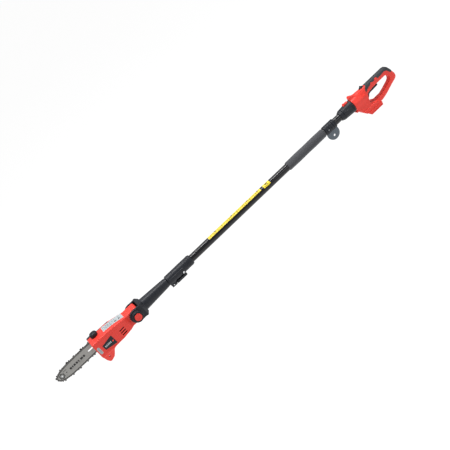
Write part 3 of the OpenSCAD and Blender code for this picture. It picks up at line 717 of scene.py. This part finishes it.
def makeHead(k):
    s = Samples((-1325, -46, -76), (-1076, 38, 46), k["step"])
    outer = headField(s, k)
    field = np.maximum(outer, -(outer + k["wall"]))
    posts = rodY(s, *k["clawScrew"], 6.5, -60, 60)
    for x, z in k["screws"]:
        posts = np.minimum(posts, rodY(s, x, z, 4, -60, 60))
    field = np.minimum(field, np.maximum(outer, posts))
    field = np.minimum(field, box(s, *k["barPad"], 0.6))
    cuts = [
        rodY(s, *k["tilt"], 9.1, -60, 60), rodZ(s, *k["tankNeck"], 9.6, 30, 60),
        rodY(s, *k["output"], 11.3, 28, 60), rodY(s, *k["barStud"], 4.3, 28, 60),
        box(s, *k["tensionSlot"]), rodY(s, *k["clawScrew"], 3.6, -60, -28),
    ]
    for i in (-1, 0, 1):
        z = k["ventPitch"] * i
        (near0, near1), (far0, far1) = k["nearVents"], k["farVents"]
        cuts.append(box(s, (near0, -60, z - 8), (near1, -30, z - 3.4), 1.6))
        cuts.append(box(s, (far0, 20, z - 2), (far1, 60, z + 2.5), 1.2))
    for x, z in k["screws"]:
        cuts.append(rodY(s, x, z, 3.4, k["far"] - 8, 60))
    splitShell(s, carve(field, *cuts), k["seam"], "head_left_shell", "head_right_shell")


makeHead(head)
print("head made")

fork = {
    "step": 1.0, "tilt": -1109.5, "ear": 29.3, "earOut": 40, "earIn": 29, "button": 15.35,
    "pivot": 9.1, "tubeSocket": 14.1, "cableWay": 10,
    "armSide": [
        (-1109.5, -29), (-1109.5, 29), (-1081, 28.3), (-1075, 30.5), (-1069.5, 30), (-1060, 24),
        (-1060, -24), (-1069.5, -30), (-1075, -30.5), (-1081, -28.3),
    ],
    "armPlan": [
        (-1109.5, -40), (-1072, -40.5), (-1063, -29), (-1056, -22), (-1056, 22), (-1063, 29),
        (-1072, 40.5), (-1109.5, 40),
    ],
    "neck": [
        (-1072, 0), (-1072, 28.5), (-1062, 26.8), (-938, 20.4), (-927.5, 18.6), (-927.5, 0),
    ],
}


def makeFork(k):
    s = Samples((-1144, -59, -35), (-922, 50, 35), k["step"])
    disc = np.hypot(s.x - k["tilt"], s.z)
    ears = meet(disc - k["ear"], abs(s.y) - k["earOut"], 3)
    arms = meet(outline(k["armSide"], s.x, s.z), outline(k["armPlan"], s.x, s.y), 1.2)
    field = blend(blend(ears, arms, 2), lathe(s, k["neck"], 1.5), 3)
    field = carve(field, box(s, (-1160, -k["earIn"], -40), (-1080, k["earIn"], 40), 1))
    # Bosses: a deep one round the button, with a ring cut in its face, and a low one behind
    field = np.minimum(field, rodY(s, k["tilt"], 0, 23.6, -55, -38, 2.5))
    field = np.minimum(field, rodY(s, k["tilt"], 0, 20, 38, 46, 1.5))
    cuts = [
        np.maximum(abs(disc - 19.4) - 0.8, s.y + 53.8),
        rodY(s, k["tilt"], 0, k["button"], -60, -40), rodY(s, k["tilt"], 0, k["pivot"], -60, 43),
        rodX(s, k["tubeSocket"], -1054.5, -920), rodX(s, k["cableWay"], -1090, -1053),
    ]
    for side in (-1, 1):  # flutes along the neck
        cuts.append(box(s, (-991, side * 25 - 3.5, 3), (-940, side * 25 + 3.5, 9), 1.5))
        cuts.append(box(s, (-1050, side * 27.5 - 3, -10), (-1002, side * 27.5 + 3, -4), 1.5))
    adopt(fieldPiece("forkForm", s, carve(field, *cuts)), "fork")


makeFork(fork)

collar = {
    "step": 0.9, "tube": 16.32, "innerTube": 14.42,
    "barrel": [
        (-927, 0), (-927, 21.5), (-923.5, 23), (-801, 23), (-794, 20), (-793, 17.5), (-793, 0),
    ],
    "leverBoss": ((-925.5, -11.8, -34), (-901, 11.8, -14)),
    "boltBoss": ((-862, -23.5, -17), (-846, 23.5, 4)),
    "rib": ((-921, -24.2, 4), (-845, 24.2, 9)), "rings": [-893, -868, -838],
    "lever": (-915, -26), "bolt": (-854, -9), "pinHole": 2.6, "boltHead": 4.8,
    "split": ((-940, -1, -24), (-868, 1, -10)),
    "leverSlot": ((-922, -5.5, -40), (-898.5, 5.5, -19.7)),
    "leverSwing": ((-930, -5.6, -40), (-918, 5.6, -29)),
}


def makeCollar(k):
    s = Samples((-930, -27, -37), (-790, 27, 26), k["step"])
    field = blend(lathe(s, k["barrel"], 1.2), box(s, *k["leverBoss"], 1.5), 3)
    field = blend(field, box(s, *k["boltBoss"], 2), 2)
    # Ring grooves, finger grooves at the rear, and a flat rib along each flank
    grooves = [ringGroove(s, x, 0.8, 22) for x in k["rings"]]
    grooves += [ringGroove(s, -826 + 6 * i, 1.1, 21.9) for i in range(4)]
    field = np.minimum(carve(field, *grooves), box(s, *k["rib"], 1))
    field = carve(
        field, rodX(s, k["tube"], -905, -780), rodX(s, k["innerTube"], -940, -904),
        box(s, *k["split"]), box(s, *k["leverSlot"]), box(s, *k["leverSwing"]),
        rodY(s, *k["lever"], k["pinHole"], -13, 13), rodY(s, *k["bolt"], k["pinHole"], -26, 26),
        rodY(s, *k["bolt"], k["boltHead"], -30, -23.5),
        rodY(s, *k["bolt"], k["boltHead"], 23.5, 30),
    )
    adopt(fieldPiece("clampCollarForm", s, field), "clamp_collar")


makeCollar(collar)

coupling = {
    "step": 1.0, "tube": 16.35, "spigot": 20.6, "latchSlot": ((106, -7.4, 15), (132, 7.4, 40)),
    "barrel": [
        (68, 0), (68, 19.5), (80, 24.6), (124, 27.4), (138, 28.7), (141, 28), (141, 0),
    ],
    "flat": [(86, -14), (86, 14), (134, 15), (134, -15)], "flatAt": 24.6,
}


def makeCoupling(k):
    s = Samples((64, -33, -33), (145, 33, 33), k["step"])
    field = lathe(s, k["barrel"], 1.3)
    for side in (-1, 1):
        # A flat cut into each flank, with a raised panel on it
        flat = meet(outline(k["flat"], s.x, s.z), k["flatAt"] - side * s.y, 0.6)
        panel = box(s, (91, side * 24 - 2.2, -9.5), (129, side * 24 + 2.2, 10), 1.4)
        field = np.minimum(carve(field, flat), panel)
    field = carve(
        field, ringGroove(s, 84, 0.9, 23), rodX(s, k["tube"], 60, 133),
        rodX(s, k["spigot"], 96, 160), box(s, *k["latchSlot"]),
    )
    adopt(fieldPiece("couplingSleeveForm", s, field), "coupling_sleeve")


makeCoupling(coupling)
print("fork, clamp and coupling made")

chain = {
    "pitch": 9.525, "inner": 3.9, "strap": 1.3, "gap": 1.75, "rivet": 1.75, "rivetHead": 0.5,
    "driveHalf": 0.75, "sprocketX": -1216, "sprocketR": 14.6, "wrap": 78, "barSteps": 60,
    "wheelSteps": 24,
    "driveLink": [
        (-2.6, -1.8), (1.5, -3.4), (4, -6.6), (5.6, -6.6), (8.2, -3.4), (12.1, -1.8),
        (12.4, 1.6), (10, 3.1), (6.2, 2.4), (3.4, 2.4), (-0.6, 3.1), (-2.8, 1.6),
    ],
    "tieStrap": [
        (-2.9, -2.2), (12.4, -2.2), (13.2, 0), (12.4, 2.6), (6.8, 1.9), (2.7, 1.9),
        (-2.9, 2.6), (-3.7, 0),
    ],
    "cutter": [
        (-4.4, -2.4), (13.4, -2.4), (14, 1), (13.8, 5.4), (9.4, 5.2), (8.2, 2.6), (6.4, 2.2),
        (3.8, 3.4), (2.6, 6.2), (-3.8, 5.2), (-4.8, 1.6),
    ],
    "topPlate": [(-4.6, 4.9), (2.8, 6.1), (2.8, 7), (-4.8, 5.8)], "topPlateReach": 1.9,
}
bar = {
    "y": 38, "face": 2.2, "tip": -1507, "tail": -1241, "knee": -1400, "half": 22, "taper": 0.35,
    "nose": -1488, "noseRings": [(8.0, 11.6), (4.1, 5.2)], "noseRivets": 13,
    # print on the bar: start and width of each plain mark
    "print": [(-1446, 9), (-1434, 5), (-1426, 9), (-1414, 9), (-1402, 5), (-1390, 12), (-1375, 8)],
    "printHalf": 4.4, "ink": 0.12,
}


def barEdge(x, k=bar):
    # half height of the bar along its length
    if x < k["knee"]:
        part = (k["knee"] - x) / (k["knee"] - k["tip"])
        return k["half"] * math.sqrt(max(0, 1 - part ** 3.2))
    return k["half"] * (1 - k["taper"] * ((x - k["knee"]) / (k["tail"] - k["knee"])) ** 3)


def chainPath(k, out):
    # the loop that the rivets follow: along the bar's edge, round the nose and the sprocket
    points = []
    rear = bar["tail"] - 20  # the chain leaves the bar here for the sprocket
    for i in range(k["barSteps"] + 1):
        part = i / k["barSteps"]
        x = bar["tip"] + (rear - bar["tip"]) * part ** 2
        points.append(Vector((x, barEdge(x))))
    lower = [Vector((p.x, -p.y)) for p in reversed(points[1:])]
    loop = []
    whole = lower + points
    for i, p in enumerate(whole):
        a, b = whole[max(0, i - 1)], whole[min(len(whole) - 1, i + 1)]
        side = Vector((-(b - a).y, (b - a).x)).normalized()
        loop.append(p + side * out)
    r = k["sprocketR"] + out - 1
    for i in range(k["wheelSteps"] + 1):
        turn = math.radians(k["wrap"] - 2 * k["wrap"] * i / k["wheelSteps"])
        loop.append(Vector((k["sprocketX"] + r * math.cos(turn), r * math.sin(turn))))
    return loop


def walk(loop, count):
    # points evenly spaced round the loop
    ends = loop[1:] + loop[:1]
    lengths = [(b - a).length for a, b in zip(loop, ends)]
    total = sum(lengths)
    out, i, before = [], 0, 0
    for n in range(count):
        goal = total * n / count
        while before + lengths[i] < goal:
            before += lengths[i]
            i += 1
        out.append(loop[i].lerp(ends[i], (goal - before) / lengths[i]))
    return out


def prism(mesh, points, y0, y1):
    # outline in X and Z given a thickness along Y
    low = [mesh.verts.new(toFrame((x, y0, z))) for x, z in points]
    high = [mesh.verts.new(toFrame((x, y1, z))) for x, z in points]
    mesh.faces.new(low)
    mesh.faces.new(reversed(high))
    for i in range(len(points)):
        j = (i + 1) % len(points)
        mesh.faces.new((low[j], low[i], high[i], high[j]))


def circle(x, z, r, count=14):
    return [(x + r * math.cos(2 * math.pi * i / count), z + r * math.sin(2 * math.pi * i / count))
            for i in range(count)]


def meshPiece(name, build, bevel=0.0, steps=2, smooth=True):
    work = bmesh.new()
    build(work)
    bmesh.ops.recalc_face_normals(work, faces=work.faces)
    mesh = bpy.data.meshes.new(name)
    work.to_mesh(mesh)
    work.free()
    piece = place(name, mesh)
    if smooth:
        mesh.shade_smooth()
    if bevel:
        soften(piece, bevel, steps)
    return piece


def soften(piece, width, steps=2):
    edge = piece.modifiers.new("edges", "BEVEL")
    edge.width = width * mm
    edge.segments = steps
    edge.limit_method = "ANGLE"
    edge.angle_limit = edgeAngle
    edge.harden_normals = True


def buildChain(work, k=chain):
    loop = chainPath(k, k["inner"])
    length = sum((b - a).length for a, b in zip(loop, loop[1:] + loop[:1]))
    links = round(length / (2 * k["pitch"]))
    rivets = walk(loop, 2 * links)
    y, inside, outside = bar["y"], k["gap"], k["gap"] + k["strap"]
    for n, a in enumerate(rivets):
        b = rivets[(n + 1) % len(rivets)]
        run = (b - a).normalized()
        rise = Vector((-run.y, run.x))
        stretch = (b - a).length / k["pitch"]

        def local(points):
            # points along and across this link
            return [tuple(a + run * (u * stretch) + rise * v) for u, v in points]

        head = outside + k["rivetHead"]
        prism(work, circle(a.x, a.y, k["rivet"]), y - head, y + head)
        if n % 2:
            # drive link, with its tang in the bar's groove and a hump over the rivets
            prism(work, local(k["driveLink"]), y - k["driveHalf"], y + k["driveHalf"])
            continue
        # every other pair of straps has a cutter, on alternate sides
        isCutter = n % 4 == 0
        side = 1 if n % 8 else -1
        for where in (-1, 1):
            plate = sorted((y + where * inside, y + where * outside))
            if not (isCutter and where == side):
                prism(work, local(k["tieStrap"]), *plate)
        if isCutter:
            prism(work, local(k["cutter"]), *sorted((y + side * inside, y + side * outside)))
            # Top plate, leaning over the bar from the side plate
            over = sorted((y - side * k["topPlateReach"], y + side * outside))
            prism(work, local(k["topPlate"]), *over)


adopt(meshPiece("sawChainLinks", buildChain, 0.18, 1, False), "saw_chain")


def inkLayer(side, thick):
    # the two faces of a thin layer on one side of the bar
    face = bar["y"] + side * bar["face"]
    return sorted((face, face + side * thick))


def rectangle(x0, z0, x1, z1):
    return [(x0, z0), (x1, z0), (x1, z1), (x0, z1)]


def buildBarMarks(work, k=bar):
    # Plain generic marks: a row of bars, a dash and a dot
    for side in (-1, 1):
        layer = inkLayer(side, k["ink"])
        for x, width in k["print"]:
            prism(work, rectangle(x, -k["printHalf"], x + width, k["printHalf"]), *layer)
        prism(work, rectangle(-1474, 10, -1458, 12), *layer)
        prism(work, circle(-1464, 0, 2.7, 20), *layer)


def ringMesh(work, x, z, r0, r1, y0, y1, count=48):
    rims = []
    for y, r in ((y0, r0), (y0, r1), (y1, r1), (y1, r0)):
        rims.append([work.verts.new(toFrame((px, y, pz))) for px, pz in circle(x, z, r, count)])
    closeRings(work, rims)


def closeRings(work, rims):
    # faces between each ring of corners and the next, and from the last to the first
    count = len(rims[0])
    for a, b in zip(rims, rims[1:] + rims[:1]):
        for i in range(count):
            j = (i + 1) % count
            work.faces.new((a[i], a[j], b[j], b[i]))


def buildNoseRing(work, k=bar):
    # rings round the nose sprocket, and six small rivets outside them
    for side in (-1, 1):
        for r0, r1 in k["noseRings"]:
            ringMesh(work, k["nose"], 0, r0, r1, *inkLayer(side, k["ink"]))
        for i in range(6):
            turn = math.radians(60 * i + 30)
            x, z = k["nose"] + k["noseRivets"] * math.cos(turn), k["noseRivets"] * math.sin(turn)
            prism(work, circle(x, z, 1.2, 12), *inkLayer(side, 0.25))


dress(meshPiece("barMarks", buildBarMarks), "black_plastic", "saw_head", blackFilm)
dress(meshPiece("noseRing", buildNoseRing), "black_plastic", "saw_head", blackFilm)
print("chain and bar made")

marks = {
    "plate": -42.72, "plateStart": -1283, "plateStep": 6.4, "spot": (-1244.5, -3, 3.4),
    "labelRows": 7, "labelPitch": 5.4, "labelStart": -1244, "labelEnd": -1196,
    "signs": [-1190, -1172], "badge": -42.62,
}


def buildPlateMarks(work, k=marks):
    # Generic white bars and a round spot on the dark plate
    y = k["plate"]
    for i in range(5):
        x = k["plateStart"] + k["plateStep"] * i
        prism(work, [(x, -4.2), (x + 4.4, -4.8), (x + 4.4, 3.2), (x, 2.8)], y, y + 0.14)


def buildPlateSpot(work, k=marks):
    prism(work, circle(*k["spot"], 24), k["plate"], k["plate"] + 0.14)


def onTop(x):
    # height of the head's sloping top edge
    line = [(-1250, 42), (-1240, 42), (-1203, 39), (-1164, 32.5), (-1148, 29)]
    for (ax, az), (bx, bz) in zip(line, line[1:]):
        if x <= bx:
            return az + (bz - az) * (x - ax) / (bx - ax)
    return line[-1][1]


def topPatch(work, x0, x1, y0, y1, lift=0.36, thick=0.12):
    # thin patch of print that follows the top edge
    corners = []
    for h in (lift, lift + thick):
        corners.append([work.verts.new(toFrame((x, y, onTop(x) + h)))
                        for x, y in ((x0, y0), (x1, y0), (x1, y1), (x0, y1))])
    low, high = corners
    work.faces.new(low)
    work.faces.new(high)
    for i in range(4):
        j = (i + 1) % 4
        work.faces.new((low[i], low[j], high[j], high[i]))


def buildLabelMarks(work, k=marks):
    # Rows of short grey dashes, and two dark pictogram blocks
    for row in range(k["labelRows"]):
        y = -16 + row * k["labelPitch"]
        x = k["labelStart"]
        while x < k["labelEnd"]:
            width = 5 + 3 * ((row * 7 + int(-x)) % 3)
            topPatch(work, x, min(x + width, k["labelEnd"] + 1), y, y + 1.5)
            x += width + 3
    for x in k["signs"]:
        topPatch(work, x, x + 9, -12, -2)
        topPatch(work, x + 1, x + 8, 4, 6)
        topPatch(work, x + 1, x + 8, 10, 12)


def buildBadgeMarks(work, k=marks):
    for i in range(5):
        z = 13 - i * 5.2
        prism(work, rectangle(-1311.5, z, -1305.5, z + 1.4), k["badge"], k["badge"] + 0.12)


dress(meshPiece("plateMarks", buildPlateMarks), "white_label", "saw_head")
dress(meshPiece("plateSpot", buildPlateSpot), "red_plastic", "saw_head")
dress(meshPiece("labelMarks", buildLabelMarks), "black_plastic", "saw_head", greyInk)
dress(meshPiece("badgeMarks", buildBadgeMarks), "black_plastic", "saw_head", greyInk)
print("labels made")


def turned(work, profile, count=72):
    # closed outline of (x, r) points turned about the pole's axis
    rings = []
    for x, r in profile:
        rings.append([work.verts.new(toFrame((
            x, r * math.cos(2 * math.pi * i / count), r * math.sin(2 * math.pi * i / count))))
            for i in range(count)])
    closeRings(work, rings)


foam = {"front": -240, "rear": -29, "inner": 16.33, "outer": 20, "swell": 0.25, "endLength": 6}


def buildFoam(work, k=foam):
    # rounded ends, and a faint swell between them
    front, rear, end = k["front"], k["rear"], k["endLength"]
    middle = []
    for i in range(25):
        x = front + end + (rear - front - 2 * end) * i / 24
        middle.append((x, k["outer"] - k["swell"] * math.cos(math.pi * i / 6)))
    turned(work, [
        (front, k["inner"]), (front, 17.6), (front + 0.8, 18.8), (front + 2.4, 19.5), *middle,
        (rear - 2.6, 19.4), (rear - 0.9, 18.7), (rear, 17.6), (rear, k["inner"]),
    ])


adopt(meshPiece("foamGripSleeve", buildFoam), "foam_grip")


strapClamp = {
    "step": 0.9, "tube": 16.33,
    "barrel": [(-24, 0), (-24, 19.6), (-22.5, 20.7), (32.5, 20.7), (34, 19.6), (34, 0)],
    "grooves": [(-17, 0.8), (-4, 1.1), (6, 0.8), (18, 1.1), (28, 0.8)], "screw": (-9, 0),
    "screwBoss": 4.4, "screwHole": 1.9, "eyeSlot": ((-20, -2.2, -30), (29.5, 2.2, -17)),
}


def makeStrapClamp(k):
    s = Samples((-27, -24, -24), (37, 24, 24), k["step"])
    field = lathe(s, k["barrel"], 0.8)
    field = carve(field, *[ringGroove(s, x, half, 19.3) for x, half in k["grooves"]])
    for side in (-1, 1):
        ends = sorted((side * 18, side * 21.6))
        field = np.minimum(field, rodY(s, *k["screw"], k["screwBoss"], *ends, 0.8))
    field = carve(
        field, rodX(s, k["tube"], -40, 50), rodY(s, *k["screw"], k["screwHole"], -30, -15),
        box(s, *k["eyeSlot"]),
    )
    adopt(fieldPiece("strapClampRings", s, field), "strap_clamp")


makeStrapClamp(strapClamp)

oilCap = {
    "step": 0.8, "x": -1285, "y": 12, "radius": 16.8, "low": 42.5, "high": 60, "bore": 9.6,
    "flutes": 20, "fluteDepth": 0.45, "fluteTop": 53, "gripHalf": 11.5, "gripTop": 63.8,
}


def makeOilCap(k):
    x, y = k["x"], k["y"]
    s = Samples((x - 21, y - 21, 40), (x + 21, y + 21, 67), k["step"])
    turn = np.arctan2(s.y - y, s.x - x)
    flutes = k["fluteDepth"] * np.cos(k["flutes"] * turn) * (s.z < k["fluteTop"])
    dome = rodZ(s, x, y, k["radius"], k["low"], k["high"], 6.5) - flutes
    grip = box(s, (x - k["gripHalf"], y - 3.2, 52), (x + k["gripHalf"], y + 3.2, k["gripTop"]), 2.4)
    field = carve(blend(dome, grip, 2.5), rodZ(s, x, y, k["bore"], 30, 53.2))
    adopt(fieldPiece("oilCapForm", s, field), "oil_cap")


makeOilCap(oilCap)


def patchOnTube(work, x0, x1, turn0, turn1, r0, r1, steps=8):
    # thin patch of print bent round the tube, between two turns in degrees
    turns = [math.radians(turn0 + (turn1 - turn0) * i / steps) for i in range(steps + 1)]
    rims = []
    for x, r in ((x0, r0), (x0, r1), (x1, r1), (x1, r0)):
        rims.append([work.verts.new(toFrame((x, r * math.cos(t), r * math.sin(t)))) for t in turns])
    for a, b in zip(rims, rims[1:] + rims[:1]):
        for i in range(steps):
            work.faces.new((a[i], a[i + 1], b[i + 1], b[i]))
    for end in (0, steps):
        work.faces.new([rim[end] for rim in rims])


strip = {
    "start": -684, "end": -402, "widths": (3, 4, 6, 8), "space": 3, "seed": 4,
    "lift": (0.31, 0.4), "blocks": [-655, -560, -470, -412],
    # the square label: start, end and the two turns of each mark
    "label": [(-372, -347, 128, 131), (-372, -347, 137, 140), (-366, -353, 96, 118)],
}


def buildStripMarks(work, k=strip):
    # Dark dashes of uneven length, and wider blocks, in place of lettering
    r0, r1 = [poleRadius / mm + lift for lift in k["lift"]]
    dice = random.Random(k["seed"])
    x = k["start"]
    while x < k["end"]:
        width = dice.choice(k["widths"])
        patchOnTube(work, x, x + width, 104, 112, r0, r1)
        patchOnTube(work, x + 1, x + width - 1, 122, 127, r0, r1)
        x += width + k["space"]
    for x in k["blocks"]:
        patchOnTube(work, x, x + 10, 84, 98, r0, r1)
    for patch in k["label"]:
        patchOnTube(work, *patch, r0, r1)


dress(meshPiece("stripMarks", buildStripMarks), "black_plastic", "outer_pole", blackFilm)

# Bevel widths of the exact nodes, in millimetres
edges = {
    "clamp_lever": 1.4, "strap_eye": 0.7, "sprocket_cover": 2.2, "cover_knob": 1.6, "trigger": 1.6,
    "lock_slider": 0.6, "release_latch": 0.8, "foot_left_rail": 1.4, "foot_right_rail": 1.4,
    "tilt_button": 1.2, "handle_spigot": 0.8, "oil_tank": 2.0, "gear_plate": 0.5, "motor_can": 1.2,
    "battery_terminals": 0.4, "guide_bar": 0.25, "bar_stud": 0.4, "clamp_bolt": 0.4,
    "lever_pin": 0.4, "tube_bush": 0.5, "trigger_switch": 0.5, "circuit_board": 0.2,
    "tensioner": 0.3, "nose_rivet": 0.3,
}
for name, width in edges.items():
    soften(frame["nodes"][name], width, 3 if width > 1 else 2)
print("turned and smaller pieces made")

makeCamera(view)
makeStudio()
